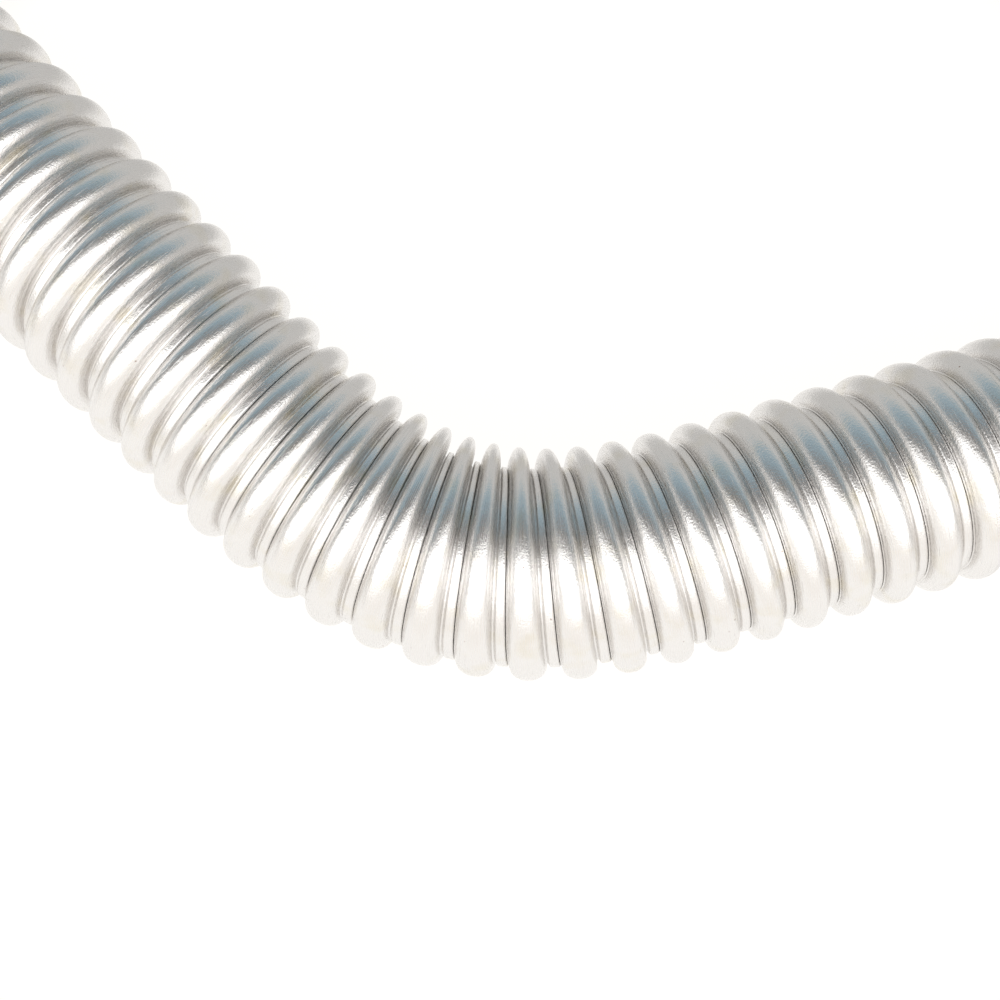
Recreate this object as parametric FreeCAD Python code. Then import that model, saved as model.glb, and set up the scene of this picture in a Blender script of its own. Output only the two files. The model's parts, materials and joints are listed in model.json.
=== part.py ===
"""Flexible metal air duct: one wound strip of bright aluminium with a plain cuff at each end.

Millimetres, +Z up. The duct lies flat, with its bend in the XY plane. The origin is the centre of
the inlet cuff's open face, +X is the way a mating spigot leaves that cuff, and the duct runs from
there along -X, round the elbow and out along the outlet limb.

On the real duct all turns are one strip, wound with its edges hooked under each other. Each turn
moves against the next one there, so each turn is a solid of its own: a raised rib with an open
hood, a narrow valley, a small seam rib and a flange. The flange of one turn lies loose under the
hood of the turn before it.
"""
import math
import os

import FreeCAD
import Part

Vector = FreeCAD.Vector

# Duct
BORE_RADIUS = 30.0          # nominal 60 mm duct
CREST_RADIUS = 36.5         # outside of the ribs
WALL = 0.4                  # strip, drawn thicker than the real folded strip
TURNS = 36
LIMB_PITCH = 13.8           # one turn in the straight limbs
ELBOW_PITCH = 12.7          # one turn at the middle of the elbow, where they close up

# Elbow
ELBOW_ANGLE = 61.5          # degrees between the two limbs' directions
ELBOW_FIRST_JOINT = 10      # joint n is between turn n and turn n + 1
ELBOW_JOINTS = 15
BEND_RESERVE = 1.15         # the tightest elbow, as a share of the angle at rest

# One turn's section, at the middle of the wall: x along the axis from the hood's lip, then radius
LIP_X = 0.2
LIP_RADIUS = 32.4
RIB_WIDTH = 7.2
RIB_ROUNDING = 3.4
VALLEY_RADIUS = BORE_RADIUS + 0.2
SEAM_RIB_START = 9.1
SEAM_RIB_END = 12.6
SEAM_RIB_RADIUS = 31.2
FLANGE_RADIUS = 30.7
FLANGE_TUCK = 3.2           # how far the flange reaches under the next hood

# Cuffs
CUFF_LENGTH = 36.0          # from its open face to the first turn's plane
CUFF_WALL = 0.5
HEM_LENGTH = 4.0            # the edge folded back on itself at the open face
BEAD_START = 3.4            # the outlet cuff's bead, from the last turn's plane


def elbow_share(joint):
    """How much of the elbow's tightest bend a joint has, from 0 to 1."""
    step = joint - ELBOW_FIRST_JOINT + 1
    if step < 1 or step > ELBOW_JOINTS:
        return 0.0
    return math.sin(math.pi * step / (ELBOW_JOINTS + 1)) ** 2


def rest_bend(joint):
    """Degrees that the duct turns at a joint."""
    return elbow_share(joint) * ELBOW_ANGLE * 2 / (ELBOW_JOINTS + 1)


def pitch_of(turn):
    """Length of a turn along the axis. The turns close up towards the middle of the elbow."""
    share = (elbow_share(turn - 1) + elbow_share(turn)) / 2
    return LIMB_PITCH - (LIMB_PITCH - ELBOW_PITCH) * share


def duct_line():
    """The plane of each hood's lip: its centre, and the yaw of the turn that ends there."""
    place = Vector(-CUFF_LENGTH, 0, 0)
    yaw = 0.0
    stations = [(place, yaw)]
    for turn in range(1, TURNS + 1):
        yaw -= rest_bend(turn - 1)
        angle = math.radians(yaw)
        place = place - Vector(math.cos(angle), math.sin(angle), 0) * pitch_of(turn)
        stations.append((place, yaw))
    return stations


def side_line(points, radii, offset):
    """Edges of a path, moved sideways by offset (left is plus). A corner is sharp or has an arc."""
    edges = []
    start = None
    for number in range(len(points) - 1):
        here, after = points[number], points[number + 1]
        along = (after - here).normalize()
        left = Vector(-along.z, 0, along.x)
        if start is None:
            start = here + left * offset
        if number + 2 == len(points):
            edges.append(Part.LineSegment(start, after + left * offset).toShape())
            break
        onward = (points[number + 2] - after).normalize()
        onward_left = Vector(-onward.z, 0, onward.x)
        radius = radii[number + 1]
        if not radius:
            corner = after + (left + onward_left) * (offset / (1 + left * onward_left))
            edges.append(Part.LineSegment(start, corner).toShape())
            start = corner
            continue
        turn = math.atan2(along.x * onward.z - along.z * onward.x, along * onward)
        setback = radius * math.tan(abs(turn) / 2)
        side = math.copysign(1.0, turn)
        arc_start = after - along * setback
        centre = arc_start + left * side * radius
        middle = (after - centre).normalize()
        arc_end = after + onward * setback
        run_end = arc_start + left * offset
        if (run_end - start).Length > 1e-6:
            edges.append(Part.LineSegment(start, run_end).toShape())
        arc_middle = centre + middle * (radius - side * offset)
        start = arc_end + onward_left * offset
        edges.append(Part.Arc(run_end, arc_middle, start).toShape())
    return edges


def end_point(points, first, offset):
    """An end of the path, moved sideways by offset."""
    here, after = (points[0], points[1]) if first else (points[-2], points[-1])
    along = (after - here).normalize()
    return (points[0] if first else points[-1]) + Vector(-along.z, 0, along.x) * offset


def strip_ring(path, thickness):
    """A strip of this thickness along a path of (x, radius, rounding), turned round the X axis."""
    points = [Vector(x, 0, radius) for x, radius, _ in path]
    radii = [rounding for _, _, rounding in path]
    half = thickness / 2
    edges = side_line(points, radii, half)
    edges += side_line(points, radii, -half)
    for first in (True, False):
        corners = end_point(points, first, half), end_point(points, first, -half)
        edges.append(Part.LineSegment(*corners).toShape())
    face = Part.Face(Part.Wire(Part.__sortEdges__(edges)))
    return face.revolve(Vector(0, 0, 0), Vector(1, 0, 0), 360)


def hood_path(scale, thickness):
    """The hood: from its open lip up over the rib and down its far side."""
    crest = CREST_RADIUS - thickness / 2
    far = LIP_X + RIB_WIDTH * scale
    rounding = RIB_ROUNDING * scale
    return [(LIP_X, LIP_RADIUS, 0), (LIP_X, crest, rounding), (far, crest, rounding)]


def turn_solid(turn):
    """One turn in its own frame: lip plane at x = 0, and the inlet side towards +X.

    The rib's top is rounded. The small corners below it are sharp, which keeps 36 turns light.
    """
    pitch = pitch_of(turn)
    scale = pitch / LIMB_PITCH
    mitre = rest_bend(turn - 1) * BEND_RESERVE / 2
    slant = SEAM_RIB_RADIUS * math.tan(math.radians(mitre))
    tip = pitch + FLANGE_TUCK
    path = hood_path(scale, WALL)
    path += [(LIP_X + RIB_WIDTH * scale, VALLEY_RADIUS, 0)]
    path += [(SEAM_RIB_START * scale, VALLEY_RADIUS, 0)]
    path += [((SEAM_RIB_START + 0.9) * scale, SEAM_RIB_RADIUS, 0)]
    path += [((SEAM_RIB_END - 0.6) * scale, SEAM_RIB_RADIUS, 0)]
    path += [(SEAM_RIB_END * scale, FLANGE_RADIUS, 0)]
    path += [(tip + slant + 1, FLANGE_RADIUS, 0)]
    ring = strip_ring(path, WALL)
    reach = 2 * CREST_RADIUS
    waste = Part.makeBox(reach, 2 * reach, 2 * reach, Vector(0, -reach, -reach))
    waste.rotate(Vector(0, 0, 0), Vector(0, 0, 1), mitre)
    waste.translate(Vector(tip, 0, 0))
    return ring.cut(waste)


def cuff(path, bead_end):
    """A cuff in its own frame, open towards +X: the path, then the plain sleeve and its hem."""
    middle = BORE_RADIUS + CUFF_WALL / 2
    sleeve = path + [(bead_end, middle, 0.7), (CUFF_LENGTH, middle, 0)]
    hem_start = Vector(CUFF_LENGTH - HEM_LENGTH, 0, 0)
    fold = Part.makeCylinder(BORE_RADIUS + 2 * CUFF_WALL, HEM_LENGTH, hem_start, Vector(1, 0, 0))
    core = Part.makeCylinder(BORE_RADIUS, HEM_LENGTH, hem_start, Vector(1, 0, 0))
    return strip_ring(sleeve, CUFF_WALL).fuse(fold.cut(core)).removeSplitter()


def inlet_cuff():
    """Plain sleeve with a hood at its inner end, which holds the first turn's flange."""
    return cuff(hood_path(1.0, CUFF_WALL), LIP_X + RIB_WIDTH)


def outlet_cuff():
    """Plain sleeve with a bead, and a flange that lies under the last turn's hood."""
    crest = CREST_RADIUS - CUFF_WALL / 2
    bead_end = BEAD_START + RIB_WIDTH
    path = [(-FLANGE_TUCK, FLANGE_RADIUS, 0), (BEAD_START, FLANGE_RADIUS, 0.7)]
    path += [(BEAD_START, crest, RIB_ROUNDING), (bead_end, crest, RIB_ROUNDING)]
    return cuff(path, bead_end)


def put(shape, place, yaw):
    """Moves a solid from its own frame to its place in the duct."""
    rotation = FreeCAD.Rotation(Vector(0, 0, 1), yaw)
    shape.Placement = FreeCAD.Placement(place, rotation).multiply(shape.Placement)
    return shape


def export(name, shape):
    solid = shape.Solids[0]
    if len(shape.Solids) != 1 or not solid.isValid():
        raise ValueError(name + " is not one valid solid")
    solid.exportStep("parts/" + name + ".step")
    return solid.Volume


def main():
    os.makedirs("parts", exist_ok=True)
    stations = duct_line()
    first_place, first_yaw = stations[0]
    last_place, last_yaw = stations[-1]
    volume = export("inlet_cuff", put(inlet_cuff(), first_place, first_yaw))
    for turn in range(1, TURNS + 1):
        volume += export("turn_%02d" % turn, put(turn_solid(turn), *stations[turn]))
    volume += export("outlet_cuff", put(outlet_cuff(), last_place, last_yaw + 180))
    length = 2 * CUFF_LENGTH + sum(pitch_of(turn) for turn in range(1, TURNS + 1))
    print("length along the axis: %.1f mm" % length)
    print("outlet plane: %.2f %.2f, yaw %.3f" % (last_place.x, last_place.y, last_yaw))
    print("metal volume: %.0f mm3" % volume)


main()
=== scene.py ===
# %% [markdown]
# # A flexible air duct
# The real duct is one long strip of bright rolled aluminium. A machine presses a big rib, a valley
# and a small rib into the strip, winds it round a mandrel and hooks each edge under the turn
# before. The duct bends because every hooked seam can slide and tilt a little.
#
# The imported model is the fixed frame: 36 turns in CAD, each a body of its own, with a cuff at each
# end. This script winds a finer strip round the same line and keeps the cuffs.

# %% Load the frame
import json
import math

import bpy
import numpy as np
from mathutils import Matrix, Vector


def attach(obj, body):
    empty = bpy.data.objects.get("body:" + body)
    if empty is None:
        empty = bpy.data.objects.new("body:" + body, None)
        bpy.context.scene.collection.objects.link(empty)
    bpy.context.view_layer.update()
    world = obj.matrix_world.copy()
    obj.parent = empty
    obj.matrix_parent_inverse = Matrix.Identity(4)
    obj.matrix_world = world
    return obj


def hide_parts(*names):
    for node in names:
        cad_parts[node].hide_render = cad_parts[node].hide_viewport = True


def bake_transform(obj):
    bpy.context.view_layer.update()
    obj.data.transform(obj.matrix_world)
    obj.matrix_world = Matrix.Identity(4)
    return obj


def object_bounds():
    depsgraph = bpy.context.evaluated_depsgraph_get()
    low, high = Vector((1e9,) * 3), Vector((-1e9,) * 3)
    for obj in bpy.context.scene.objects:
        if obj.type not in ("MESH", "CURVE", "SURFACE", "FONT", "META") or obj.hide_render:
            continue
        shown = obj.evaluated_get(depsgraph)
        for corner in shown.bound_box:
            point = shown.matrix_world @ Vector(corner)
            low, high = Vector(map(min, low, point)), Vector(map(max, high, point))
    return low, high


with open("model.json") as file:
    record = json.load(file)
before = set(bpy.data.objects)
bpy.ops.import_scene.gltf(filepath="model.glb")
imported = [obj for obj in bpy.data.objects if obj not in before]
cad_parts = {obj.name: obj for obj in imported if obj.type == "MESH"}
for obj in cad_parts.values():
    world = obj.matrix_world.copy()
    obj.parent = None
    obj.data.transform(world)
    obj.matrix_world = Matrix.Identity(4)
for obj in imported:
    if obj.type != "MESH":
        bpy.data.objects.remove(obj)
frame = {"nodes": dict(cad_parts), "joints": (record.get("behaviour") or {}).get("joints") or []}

CAD_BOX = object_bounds()
MM = 0.001
print("CAD box in mm:", [[round(x / MM, 1) for x in corner] for corner in CAD_BOX])

# %% [markdown]
# ## The line of the duct
# Joint n is the seam between turn n and turn n + 1, and it lies on the duct's middle line. A seam
# that slides has no place of its own in the record, so it lies half-way between its neighbours,
# because the limbs are straight there. The two cuffs' planes are one more turn out.

# %% Where the turns meet
SEAMS = {n: np.array(joint["pos_m"]) / MM
         for n, joint in enumerate(frame["joints"], 1) if "pos_m" in joint}
TURNS = len(frame["joints"]) + 1
for seam in range(2, TURNS - 1):
    if seam not in SEAMS:
        SEAMS[seam] = (SEAMS[seam - 1] + SEAMS[seam + 1]) / 2
for seam in (1, 0, -1, -2):
    SEAMS[seam] = 2 * SEAMS[seam + 1] - SEAMS[seam + 2]
for seam in (TURNS - 1, TURNS, TURNS + 1, TURNS + 2, TURNS + 3):
    if seam not in SEAMS:
        SEAMS[seam] = 2 * SEAMS[seam - 1] - SEAMS[seam - 2]
FIRST_SEAM = min(SEAMS)
LINE = np.array([SEAMS[n] for n in sorted(SEAMS)])
print(TURNS, "turns, from", SEAMS[0].round(1), "to", SEAMS[TURNS].round(1))

# %% [markdown]
# A duct bends evenly, with no corner at a seam. A cubic B-spline gives such a line: its place,
# direction and bend all change smoothly. The seams are its control points, so in the elbow it
# passes them a few tenths of a millimetre on the inside.

# %% A smooth line along the seams
def duct_at(turns):
    """The middle line, this many turns from the inlet cuff's plane.

    Gives the place, the way to the inlet, the way to the inside of the elbow, the millimetres per
    turn and the bend per millimetre.
    """
    whole = np.clip(np.floor(turns).astype(int), FIRST_SEAM + 1, TURNS + 1)
    t = (turns - whole)[:, None]
    a, b, c, d = (LINE[whole - FIRST_SEAM + n] for n in (-1, 0, 1, 2))
    place = (a * (1 - t)**3 + b * (3 * t**3 - 6 * t**2 + 4)
             + c * (-3 * t**3 + 3 * t**2 + 3 * t + 1) + d * t**3) / 6
    slope = (-a * (1 - t)**2 + b * (3 * t**2 - 4 * t) + c * (-3 * t**2 + 2 * t + 1) + d * t**2) / 2
    bend = a * (1 - t) + b * (3 * t - 2) + c * (1 - 3 * t) + d * t
    length = np.linalg.norm(slope, axis=1)
    forward = -slope / length[:, None]
    inside = np.stack([-forward[:, 1], forward[:, 0], 0 * length], axis=1)
    curve = (bend * inside).sum(axis=1) / length**2
    return place, forward, inside, length, curve


elbow = duct_at(np.array([17.0]))
print("tightest bend radius: %.1f mm" % (1 / elbow[4][0]))

# %% [markdown]
# ## Helpers
# An operator acts on everything that is selected, so each step first selects only its own object.

# %% Selecting and editing
def only(obj):
    """Selects this object and nothing else."""
    bpy.ops.object.select_all(action="DESELECT")
    obj.select_set(True)
    bpy.context.view_layer.objects.active = obj


def edit(obj):
    only(obj)
    bpy.ops.object.mode_set(mode="EDIT")


def leave():
    bpy.ops.object.mode_set(mode="OBJECT")


def points_of(mesh):
    """A mesh's vertices in millimetres, as rows."""
    co = np.empty(len(mesh.vertices) * 3)
    mesh.vertices.foreach_get("co", co)
    return co.reshape(-1, 3) / MM


def pick_points(obj, chosen):
    """Selects these vertices, and the edges and faces that have only chosen corners."""
    edit(obj)
    bpy.ops.mesh.select_mode(type="VERT")
    bpy.ops.mesh.select_all(action="DESELECT")
    leave()
    obj.data.vertices.foreach_set("select", chosen)
    edit(obj)
    bpy.ops.mesh.select_mode(type="VERT")


def apply_modifier(obj, kind, **settings):
    only(obj)
    modifier = obj.modifiers.new(kind.title(), kind)
    for name, value in settings.items():
        setattr(modifier, name, value)
    bpy.ops.object.modifier_apply(modifier=modifier.name)


# %% [markdown]
# ## The strip's section
# From left to right: the hood's lip, which flares where the strip's edge was cut; the big round
# rib; the valley, which is the duct's bore; the small seam rib; and the flange, which lies under
# the next turn's hood. It is drawn as the middle line of the strip: corners, each with a radius.

# %% Corners and radii of the section
PITCH = 13.8
STRIP = 0.4                 # the real folded strip is thinner; this keeps its edge in sight
SECTION = [(-0.25, 31.05, 0.0), (0.20, 31.45, 0.4), (0.22, 36.1, 4.25), (9.15, 36.1, 4.25),
           (9.25, 30.1, 0.6), (10.25, 30.1, 0.4), (10.75, 31.45, 0.5), (12.95, 31.45, 0.5),
           (13.35, 30.55, 0.35), (16.8, 30.5, 0.0)]
ARC_STEP = 12.0             # degrees


def rounded(corners):
    """The line through these corners, with an arc at each one."""
    line = [np.array(corners[0][:2])]
    for before, here, after in zip(corners, corners[1:], corners[2:]):
        corner = np.array(here[:2])
        back = np.array(before[:2]) - corner
        on = np.array(after[:2]) - corner
        back, on = back / np.linalg.norm(back), on / np.linalg.norm(on)
        opening = math.acos(np.clip(back @ on, -1, 1))
        reach = here[2] / math.tan(opening / 2)
        middle = corner + (back + on) / np.linalg.norm(back + on) * here[2] / math.sin(opening / 2)
        first, last = corner + back * reach - middle, corner + on * reach - middle
        sweep = math.pi - opening
        steps = max(3, round(math.degrees(sweep) / ARC_STEP))
        for step in range(steps + 1):
            share = step / steps
            arm = (first * math.sin((1 - share) * sweep) + last * math.sin(share * sweep))
            line.append(middle + arm / math.sin(sweep))
    line.append(np.array(corners[-1][:2]))
    return np.array(line)


PROFILE = rounded(SECTION)
ALONG_PROFILE = np.r_[0, np.cumsum(np.linalg.norm(np.diff(PROFILE, axis=0), axis=1))]
print(len(PROFILE), "points, strip width %.1f mm" % ALONG_PROFILE[-1])

# %% The section as a line of vertices
bpy.ops.object.select_all(action="DESELECT")
bpy.ops.mesh.primitive_grid_add(x_subdivisions=len(PROFILE) - 1, y_subdivisions=1, size=1)
winding = bpy.context.object
winding.name = "winding"
grid = points_of(winding.data)
pick_points(winding, grid[:, 1] > 0)
bpy.ops.mesh.delete(type="VERT")
leave()
order = np.argsort(points_of(winding.data)[:, 0])
line = np.zeros((len(order), 3))
line[order, :2] = PROFILE
winding.data.vertices.foreach_set("co", (line * MM).ravel())
print(len(winding.data.vertices), "vertices,", len(winding.data.edges), "edges")

# %% [markdown]
# ## Winding the strip
# The Screw modifier winds the section round the duct's axis, one pitch a turn, as the winding
# machine does. Solidify gives it the strip's thickness, and a small Bevel rounds the cut edges.

# %% Wind, thicken and round the edges
STEPS = 104                 # round one turn
WOUND = 5                   # turns, of which the middle one is used
apply_modifier(winding, "SCREW", axis="X", angle=math.tau, screw_offset=PITCH * MM,
               iterations=WOUND, steps=STEPS, render_steps=STEPS)
apply_modifier(winding, "SOLIDIFY", thickness=STRIP * MM, offset=0, use_even_offset=True)
apply_modifier(winding, "BEVEL", width=0.09 * MM, segments=1, limit_method="ANGLE",
               angle_limit=math.radians(50))
edit(winding)
bpy.ops.mesh.select_all(action="SELECT")
bpy.ops.mesh.normals_make_consistent(inside=False)
leave()
bpy.ops.object.shade_smooth()
wound = points_of(winding.data)
print(len(wound), "vertices, x from %.1f to %.1f mm" % (wound[:, 0].min(), wound[:, 0].max()))

# %% [markdown]
# The winding's phase says where round the duct a hood's lip starts, and the middle turn is moved
# to lie round x = 0.

# %% Set the phase
PHASE = 0.05                # turns, where the hood's lip passes the inside of the elbow
shift = (PHASE - (WOUND + 1) / 2) * PITCH
winding.data.vertices.foreach_set("co", ((wound + [shift, 0, 0]) * MM).ravel())

# %% [markdown]
# ## A pattern's coordinates
# Scratches and drawing lines follow the strip, and the grain lies in the metal, so both must stay
# with the metal where the duct bends. Each vertex gets two sets of coordinates in millimetres:
# its place in the straight duct, and its place on the flat strip, along it and across it.

# %% Find each vertex on the flat strip
MIDDLE_RADIUS = 33.2
SAMPLES = 240               # points across the strip, to look up the nearest


def on_strip(points):
    """(along, across) the flat strip for points of the straight winding."""
    x, y, z = points.T
    radius, angle = np.hypot(y, z), np.arctan2(z, y)
    best = np.full(len(points), np.inf)
    found = np.zeros((len(points), 2))
    fine = np.linspace(0, ALONG_PROFILE[-1], SAMPLES)
    samples = np.stack([np.interp(fine, ALONG_PROFILE, PROFILE[:, n]) for n in (0, 1)], axis=1)
    for turn in range(-3, 4):
        turned = angle + turn * math.tau
        u = x - (PHASE + turned / math.tau) * PITCH
        near = (u > -1) & (u < PROFILE[-1, 0] + 1)
        gap = np.hypot(u[near, None] - samples[:, 0], radius[near, None] - samples[:, 1])
        nearest = gap.argmin(axis=1)
        gap = gap[np.arange(len(nearest)), nearest]
        better = gap < best[near]
        rows = np.flatnonzero(near)[better]
        best[rows] = gap[better]
        found[rows, 0] = turned[rows] * MIDDLE_RADIUS
        found[rows, 1] = fine[nearest[better]]
    return found, best.max()


# %% [markdown]
# ## One turn as a pattern piece
# Every length of the duct is the same turn, so one is cut out and copied. A cut leaves the metal
# next to it with no neighbour to shade against, so the turn is first cut a little long: the long
# turn gives the shading, and the short one, capped at both cuts, is the piece.

# %% Cut a long and a short turn
MARGIN = 1.6


def cut(obj, x, away=None):
    """Cuts the object at this x, and takes off what is on the side away, +1 or -1."""
    edit(obj)
    bpy.ops.mesh.select_all(action="SELECT")
    bpy.ops.mesh.bisect(plane_co=(x * MM, 0, 0), plane_no=(1, 0, 0), threshold=1e-7,
                        clear_inner=away == -1, clear_outer=away == 1)
    leave()


def pattern(name, low, high):
    """A long length of the winding and the same length cut short, from low to high."""
    only(winding)
    bpy.ops.object.duplicate()
    long = bpy.context.object
    long.name = name + "_long"
    cut(long, low - MARGIN, -1)
    cut(long, high + MARGIN, 1)
    cut(long, low)
    cut(long, high)
    mesh = long.data
    number = mesh.attributes.new("long_corner", "INT", "CORNER")
    number.data.foreach_set("value", np.arange(len(mesh.loops), dtype=np.int32))
    only(long)
    bpy.ops.object.duplicate()
    short = bpy.context.object
    short.name = name + "_short"
    x = points_of(short.data)[:, 0]
    pick_points(short, (x < low - 1e-3) | (x > high + 1e-3))
    bpy.ops.mesh.delete(type="VERT")
    leave()
    for end in (low, high):
        x = points_of(short.data)[:, 0]
        pick_points(short, np.abs(x - end) < 1e-3)
        bpy.ops.mesh.edge_face_add()
        leave()
    return long, short


TURN_LONG, TURN_SHORT = pattern("turn", -PITCH / 2, PITCH / 2)
UNDER_CUFF = 3.4            # how far the wound strip reaches under a cuff's hood
IN_LONG, IN_SHORT = pattern("inlet", -PITCH / 2, UNDER_CUFF)
OUT_LONG, OUT_SHORT = pattern("outlet", -UNDER_CUFF, PITCH / 2)
for short in (TURN_SHORT, IN_SHORT, OUT_SHORT):
    sides = [len(face.vertices) for face in short.data.polygons]
    open_edges = sum(1 for n in np.bincount(
        [loop.edge_index for loop in short.data.loops]) if n != 2)
    print(short.name, len(sides), "faces, the caps have", sorted(sides)[-2:], "corners,",
          open_edges, "open edges")

# %% [markdown]
# ## Bending a turn onto the line
# Where the duct bends, the turns close up on the inside and open out on the outside, and the strip
# can't shrink: a rib that is squeezed narrower stands up taller, and one that is pulled wider lies
# lower. Near a cuff the ribs were rolled flat, so that the cuff's hood could be pressed over them.

# %% Move a turn's points onto the duct
TALLER = 0.76               # how strongly a rib rises as it is squeezed
ROLLED_RADIUS = 31.0
ROLLED_SHARE = 0.16         # of a rib's height is left where it was rolled flat
ROLLED_TURNS = 0.05         # from a cuff's plane to where the ribs start to rise
RISE_TURNS = 1.0            # from there to a rib of full height
MOST_CORNERS = 20           # a face with more corners than this is a cap


def bent(points, seam):
    """Points of the straight turn, moved onto the duct round this seam."""
    x, y, z = points.T
    radius = np.hypot(y, z)
    turns = seam - x / PITCH
    place, forward, inside, length, curve = duct_at(turns)
    to_inside, up = y / radius, z / radius
    squeeze = (1 - curve * MIDDLE_RADIUS * to_inside) * length / PITCH
    radius = MIDDLE_RADIUS + (radius - MIDDLE_RADIUS) * squeeze**-TALLER
    from_cuff = np.clip((np.minimum(turns, TURNS - turns) - ROLLED_TURNS) / RISE_TURNS, 0, 1)
    risen = from_cuff**2 * (3 - 2 * from_cuff)
    radius = ROLLED_RADIUS + (radius - ROLLED_RADIUS) * (ROLLED_SHARE + (1 - ROLLED_SHARE) * risen)
    across = inside * to_inside[:, None] + np.array([0, 0, 1]) * up[:, None]
    return place + across * radius[:, None]


def piece_of(long, short, seam, name):
    """A copy of the short turn round this seam, shaded as the long one would be there."""
    wide = long.data.copy()
    wide.vertices.foreach_set("co", (bent(points_of(long.data), seam) * MM).ravel())
    wide.update()
    normals = np.empty(len(wide.loops) * 3, np.float32)
    wide.corner_normals.foreach_get("vector", normals)
    normals = normals.reshape(-1, 3)
    bpy.data.meshes.remove(wide)

    mesh = short.data.copy()
    mesh.name = name
    straight = points_of(mesh)
    mesh.vertices.foreach_set("co", (bent(straight, seam) * MM).ravel())
    in_tube = mesh.attributes.new("tube_mm", "FLOAT_VECTOR", "POINT")
    in_tube.data.foreach_set("vector", (straight - [seam * PITCH, 0, 0]).ravel())
    flat, worst = on_strip(straight)
    flat = np.c_[flat[:, 0] - seam * math.tau * MIDDLE_RADIUS, flat[:, 1], 0 * flat[:, 0]]
    in_strip = mesh.attributes.new("strip_mm", "FLOAT_VECTOR", "POINT")
    in_strip.data.foreach_set("vector", flat.ravel())
    mesh.update()

    corner = np.empty(len(mesh.loops), np.int32)
    mesh.attributes["long_corner"].data.foreach_get("value", corner)
    shading = normals[corner]
    for face in mesh.polygons:
        if len(face.vertices) > MOST_CORNERS:
            face.use_smooth = False
            shading[face.loop_start:face.loop_start + face.loop_total] = 0
    mesh.normals_split_custom_set(shading)
    mesh.attributes.remove(mesh.attributes["long_corner"])
    piece = bpy.data.objects.new(name, mesh)
    bpy.context.scene.collection.objects.link(piece)
    return piece, worst


# %% [markdown]
# ## The whole duct
# A length of duct is placed round each seam, and the CAD turn after the seam is hidden. The cuts
# between two lengths meet. For each length the bodies of the turns on its two sides are found, and
# the places on the line almost a quarter of a turn in from its two ends, but no step here makes a
# length bend with its seam.
#
# Where several motions combine, rounding can misplace the axis between a length's two bodies and
# throw the length off the duct. The two lists were found by trying each seam both ways at the ends
# of every motion. Some seams do better with the axis taken from the far body, and for these the two
# ends are swapped. At others the length is attached to one body and stays stiff on it, and a gap
# opens at a cut when they bend. The other lengths are attached to no body.

# %% Place the lengths of wound strip
STIFF = 0.22                # of a turn, at each end of a length


def body_of_turn(turn):
    return {1: "inlet_end", TURNS: "outlet_end"}.get(turn, "turn_%02d" % turn)


def on_line(turns):
    return Vector(duct_at(np.array([turns]))[0][0] * MM)


FROM_FAR_BODY = (3, 9, 14, 16, 17, 20, 24)
STAYS_STIFF = (11, 12, 13, 18, 19, 22, 23, 28)

duct = []
worst_gap = 0
for seam in range(1, TURNS):
    piece, worst = piece_of(TURN_LONG, TURN_SHORT, seam, "wound_strip_%02d" % seam)
    ends = [(body_of_turn(seam), on_line(seam - 0.5 + STIFF)),
            (body_of_turn(seam + 1), on_line(seam + 0.5 - STIFF))]
    if seam in FROM_FAR_BODY:
        ends.reverse()
    (first_body, start), (last_body, end) = ends
    if seam in STAYS_STIFF:
        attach(piece, first_body)
    else:
        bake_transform(piece)
    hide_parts("turn_%02d" % (seam + 1))
    duct.append(piece)
    worst_gap = max(worst_gap, worst)
strip_start, _ = piece_of(IN_LONG, IN_SHORT, 0, "strip_start")
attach(strip_start, "inlet_end")
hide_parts("turn_01")
strip_end, _ = piece_of(OUT_LONG, OUT_SHORT, TURNS, "strip_end")
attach(strip_end, "outlet_end")
duct += [strip_start, strip_end]
for helper in (winding, TURN_LONG, TURN_SHORT, IN_LONG, IN_SHORT, OUT_LONG, OUT_SHORT):
    bpy.data.objects.remove(helper)
print(len(duct), "lengths, %.2f mm off the strip's middle at most" % worst_gap)

# %% [markdown]
# ## Bright rolled aluminium
# The strip is commercially pure aluminium, cold rolled between polished rollers, so it is bright
# but not a mirror. Forming it over the ribs brings out the metal's grain as a faint orange peel,
# and the rollers leave fine lines along it.
#
# A metal gets nearly all its look from what it reflects, so its colour stays plain and the pattern
# is in the bumps and the roughness. Noise in millimetres gives each mark its size with no image.

# %% Colours and nodes
def srgb(code):
    """The linear colour of an sRGB hex value."""
    parts = [int(code[n:n + 2], 16) / 255 for n in (1, 3, 5)]
    return [p / 12.92 if p <= 0.04045 else ((p + 0.055) / 1.055)**2.4 for p in parts] + [1.0]


def add_node(tree, kind, links=(), **settings):
    """Adds a node, sets its properties and sockets, and links sockets of others into it."""
    node = tree.nodes.new(kind)
    for name, value in settings.items():
        if hasattr(node, name):
            setattr(node, name, value)
        else:
            node.inputs[name.replace("_", " ")].default_value = value
    for socket, source in links:
        tree.links.new(source, node.inputs[socket])
    return node


def new_material(name):
    material = bpy.data.materials.new(name)
    material.use_nodes = True
    material.node_tree.nodes.clear()
    return material, material.node_tree


print("a mid grey is %.3f in linear light" % srgb("#808080")[0])

# %% [markdown]
# Every mark is a noise, and a noise that is stretched along the strip becomes lines. Real drawing
# lines are a few hundredths of a millimetre apart. That is too fine to show, so they are drawn
# about ten times as coarse.

# %% The marks on the metal
strip_metal, tree = new_material("bright_rolled_aluminium")
in_tube = add_node(tree, "ShaderNodeAttribute", attribute_name="tube_mm").outputs["Vector"]
in_strip = add_node(tree, "ShaderNodeAttribute", attribute_name="strip_mm").outputs["Vector"]

# orange peel: grains of half a millimetre, and softer waves of 4 mm from the forming rollers
peel = add_node(tree, "ShaderNodeTexNoise", [("Vector", in_tube)], Scale=1.8, Detail=3.0)
waves = add_node(tree, "ShaderNodeTexNoise", [("Vector", in_tube)], Scale=0.25, Detail=1.0)

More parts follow.
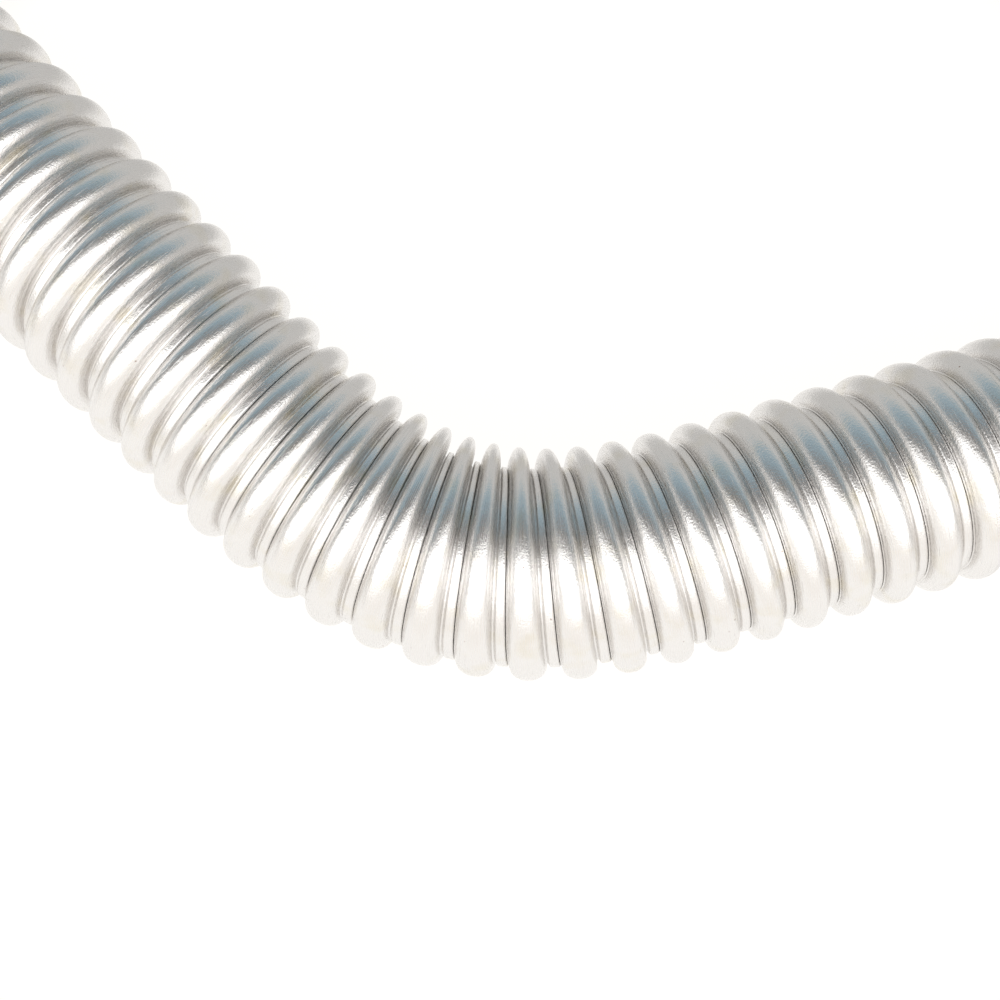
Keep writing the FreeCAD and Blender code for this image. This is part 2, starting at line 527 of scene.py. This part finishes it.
# drawing lines: noise that is 40 times longer along the strip than across it
along = add_node(tree, "ShaderNodeVectorMath", [(0, in_strip)], operation="MULTIPLY")
along.inputs[1].default_value = (0.08, 3.2, 1.0)
lines = add_node(tree, "ShaderNodeTexNoise", [("Vector", along.outputs["Vector"])],
                 Scale=1.0, Detail=2.0)

# a few fine scratches at a slant: thin long noise, of which only the peaks count
slant = add_node(tree, "ShaderNodeMapping", [("Vector", in_strip)])
slant.inputs["Rotation"].default_value = (0, 0, math.radians(63))
slant.inputs["Scale"].default_value = (0.09, 2.4, 1.0)
marks = add_node(tree, "ShaderNodeTexNoise", [("Vector", slant.outputs["Vector"])],
                 Scale=1.0, Detail=1.0)
scratches = add_node(tree, "ShaderNodeMapRange", [("Value", marks.outputs["Fac"])],
                     From_Min=0.66, From_Max=0.72)
print(len(tree.nodes), "nodes make the marks")

# %% [markdown]
# A Bump node tilts the shading as if the surface rose by its Distance. Each one starts from the
# tilt of the one before, so the grain, the waves, the lines and the scratches add up. Real bumps in
# the mesh would need far too many faces for marks of a tenth of a millimetre.

# %% Bumps and haze
skin = None
for height, strength, rise_mm in ((peel.outputs["Fac"], 1.0, 0.11),
                                  (waves.outputs["Fac"], 1.0, 0.07),
                                  (lines.outputs["Fac"], 1.0, 0.022),
                                  (scratches.outputs["Result"], 0.6, 0.08)):
    links = [("Height", height)]
    if skin:
        links.append(("Normal", skin.outputs["Normal"]))
    skin = add_node(tree, "ShaderNodeBump", links, Strength=strength, Distance=rise_mm * MM)

# the drawing lines also spread the reflection a little
haze = add_node(tree, "ShaderNodeMapRange", [("Value", lines.outputs["Fac"])],
                From_Min=0.3, From_Max=0.7, To_Min=0.20, To_Max=0.32)
print(len(tree.nodes), "nodes with the bumps and the haze")

# %% [markdown]
# Bare aluminium grows a thin oxide skin at once, which gives it a faint straw tint in soft patches.
# Dirt that was rolled in shows as rare brown specks. Both are noises that mix two colours.

# %% Oxide tint and specks
patches = add_node(tree, "ShaderNodeTexNoise", [("Vector", in_tube)], Scale=0.11, Detail=3.0)
tint = add_node(tree, "ShaderNodeMapRange", [("Value", patches.outputs["Fac"])],
                From_Min=0.54, From_Max=0.70, To_Min=0.0, To_Max=0.4)
straw = add_node(tree, "ShaderNodeMix", [("Factor", tint.outputs["Result"])], data_type="RGBA")
straw.inputs[6].default_value = srgb("#EDEBE9")
straw.inputs[7].default_value = srgb("#E6E0D0")
grit = add_node(tree, "ShaderNodeTexNoise", [("Vector", in_tube)], Scale=0.62, Detail=2.0)
speck = add_node(tree, "ShaderNodeMapRange", [("Value", grit.outputs["Fac"])],
                 From_Min=0.76, From_Max=0.79, To_Min=0.0, To_Max=0.8)
dirty = add_node(tree, "ShaderNodeMix", [("Factor", speck.outputs["Result"])], data_type="RGBA")
tree.links.new(straw.outputs[2], dirty.inputs[6])
dirty.inputs[7].default_value = srgb("#8A6A55")
print(len(tree.nodes), "nodes with the colours")

# %% [markdown]
# The cuffs are aluminium too, and get the same metal as the strip. A metal keeps the shader's own
# IOR, because its base colour already says how much it reflects.

# %% The shader, on the strip and on both cuffs
metal = add_node(tree, "ShaderNodeBsdfPrincipled",
                 [("Base Color", dirty.outputs[2]), ("Normal", skin.outputs["Normal"]),
                  ("Roughness", haze.outputs["Result"])], Metallic=1.0)
add_node(tree, "ShaderNodeOutputMaterial", [("Surface", metal.outputs["BSDF"])])
for piece in duct:
    piece.data.materials.clear()
    piece.data.materials.append(strip_metal)
for name in ("inlet_cuff", "outlet_cuff"):
    for material_slot in frame["nodes"][name].material_slots:
        material_slot.material = strip_metal
print(strip_metal.name, "is used", strip_metal.users, "times")

# %% [markdown]
# ## Floor, light and camera
# Bright metal shows the studio more than itself, so the studio is part of the look. It is laid out
# by two directions, as the camera sees them: to the right, and down.

# %% Directions in the studio
TILT = math.radians(16.1)   # the inlet limb rises this much to the right, seen from the camera
RIGHT = Vector((math.cos(TILT), -math.sin(TILT), 0))
DOWN = Vector((-math.sin(TILT), -math.cos(TILT), 0))
print("right is", [round(n, 3) for n in RIGHT], "and down is", [round(n, 3) for n in DOWN])

# %% [markdown]
# The duct lies on a panel of opal plastic that is lit from behind. Light from below takes the
# shadow away and leaves the outline on plain white. The panel has a dim part, because the inside
# of the elbow needs a grey to reflect. It is dim away from its bright side, except where it is
# seen from nearly straight above: the Layer Weight node says how slanting the view is.

# %% Floor
FLOOR_SIZE = 6.0
BRIGHT_SIDE = (-0.5, -0.87, 0)
DIM = 0.52                  # the glow of the dim part
bpy.ops.object.select_all(action="DESELECT")
bpy.ops.mesh.primitive_plane_add(size=FLOOR_SIZE, location=(-0.2, 0.1, CAD_BOX[0].z))
floor = bpy.context.object
floor.name = "floor"
panel, tree = new_material("opal_light_panel")
opal = add_node(tree, "ShaderNodeBsdfPrincipled", Roughness=0.9)
opal.inputs["Base Color"].default_value = srgb("#3E3E3D")
place = add_node(tree, "ShaderNodeTexCoord").outputs["Object"]
toward = add_node(tree, "ShaderNodeVectorMath", [(0, place)], operation="DOT_PRODUCT")
toward.inputs[1].default_value = BRIGHT_SIDE
near = add_node(tree, "ShaderNodeMapRange", [("Value", toward.outputs["Value"])],
                From_Min=0.03, From_Max=0.10, To_Min=DIM, To_Max=0.98)
slanting = add_node(tree, "ShaderNodeLayerWeight", Blend=0.5)
above = add_node(tree, "ShaderNodeMapRange", [("Value", slanting.outputs["Facing"])],
                 From_Min=0.15, From_Max=0.27, To_Min=1.0, To_Max=DIM)
glow = add_node(tree, "ShaderNodeMath", [(0, near.outputs["Result"]), (1, above.outputs["Result"])],
                operation="MAXIMUM")
tree.links.new(glow.outputs["Value"], opal.inputs["Emission Strength"])
opal.inputs["Emission Color"].default_value = srgb("#FFFDFA")
add_node(tree, "ShaderNodeOutputMaterial", [("Surface", opal.outputs["BSDF"])])
floor.data.materials.append(panel)
print(floor.name, "is %.1f m wide, at z = %.1f mm" % (floor.dimensions.x, floor.location.z / MM))

# %% [markdown]
# The rest of the studio is a world that changes with direction: a bright soft box overhead, a warm
# white wall towards the bottom of the view, and on the other side a dark card and a blue-grey
# window. Lamps could do the same, but a world's zones blend softly and cost little to render.

# %% World
# Angle in degrees from straight up towards DOWN, colour, strength.
ZONES = [(-180, "#C9C7C2", 1.0), (-88, "#C9C7C2", 1.0), (-72, "#9CB2BD", 1.0), (-52, "#93A9B5", 0.9),
         (-36, "#827D79", 0.95), (-18, "#8F8B87", 0.95), (0, "#FFFFFF", 2.1), (28, "#FFFFFF", 2.1),
         (56, "#FFFBF6", 1.05), (180, "#FFFBF6", 1.02)]
world = bpy.data.worlds.new("studio")
bpy.context.scene.world = world
world.use_nodes = True
tree = world.node_tree
tree.nodes.clear()
way = add_node(tree, "ShaderNodeTexCoord").outputs["Generated"]
shares = {}
for name, axis in (("down", DOWN), ("up", Vector((0, 0, 1))), ("right", RIGHT)):
    shares[name] = add_node(tree, "ShaderNodeVectorMath", [(0, way)], operation="DOT_PRODUCT")
    shares[name].inputs[1].default_value = axis
angle = add_node(tree, "ShaderNodeMath", [(0, shares["down"].outputs["Value"]),
                                          (1, shares["up"].outputs["Value"])], operation="ARCTAN2")
turned = add_node(tree, "ShaderNodeMapRange", [("Value", angle.outputs["Value"])],
                  From_Min=-math.pi, From_Max=math.pi)
ramp = add_node(tree, "ShaderNodeValToRGB", [("Fac", turned.outputs["Result"])])
stops = ramp.color_ramp.elements
for number, (degrees, code, strength) in enumerate(ZONES):
    stop = stops[number] if number < 2 else stops.new(1.0)
    stop.position = (degrees + 180) / 360
    stop.color = [c * strength for c in srgb(code)[:3]] + [1.0]
print(len(stops), "zones in the studio")

# %% [markdown]
# Along the duct, where the zones would run to a point, the studio turns into a plain grey wall.

# %% The walls at the far left and right
side = add_node(tree, "ShaderNodeMath", [(0, shares["right"].outputs["Value"])],
                operation="ABSOLUTE")
far_side = add_node(tree, "ShaderNodeMapRange", [("Value", side.outputs["Value"])],
                    From_Min=0.80, From_Max=1.0)
blend = add_node(tree, "ShaderNodeMix", [("Factor", far_side.outputs["Result"])],
                 data_type="RGBA")
tree.links.new(ramp.outputs["Color"], blend.inputs[6])
blend.inputs[7].default_value = srgb("#C2BEB9")
sky = add_node(tree, "ShaderNodeBackground", Strength=1.0)
tree.links.new(blend.outputs[2], sky.inputs["Color"])
add_node(tree, "ShaderNodeOutputWorld", [("Surface", sky.outputs["Background"])])
print(len(tree.nodes), "nodes in the world")

# %% [markdown]
# The camera looks straight down on the elbow from a third of a metre above the duct's middle line.
# From so near, the ribs at the border of the view are seen a little from the side.

# %% Camera
LENS, SENSOR = 39.204, 36.0     # mm
CAMERA_PLACE = (-244.9, 29.5, 346.0)
camera_data = bpy.data.cameras.new("camera")
camera_data.sensor_width = SENSOR
camera_data.lens = LENS
camera_data.clip_start = 0.01
camera = bpy.data.objects.new("camera", camera_data)
bpy.context.scene.collection.objects.link(camera)
camera.location = Vector(CAMERA_PLACE) * MM
camera.rotation_euler = (0, 0, -TILT)
bpy.context.scene.camera = camera
bpy.context.scene.view_settings.view_transform = "Standard"
print("lens %.3f mm, %.0f mm above the middle line" % (camera_data.lens, CAMERA_PLACE[2]))
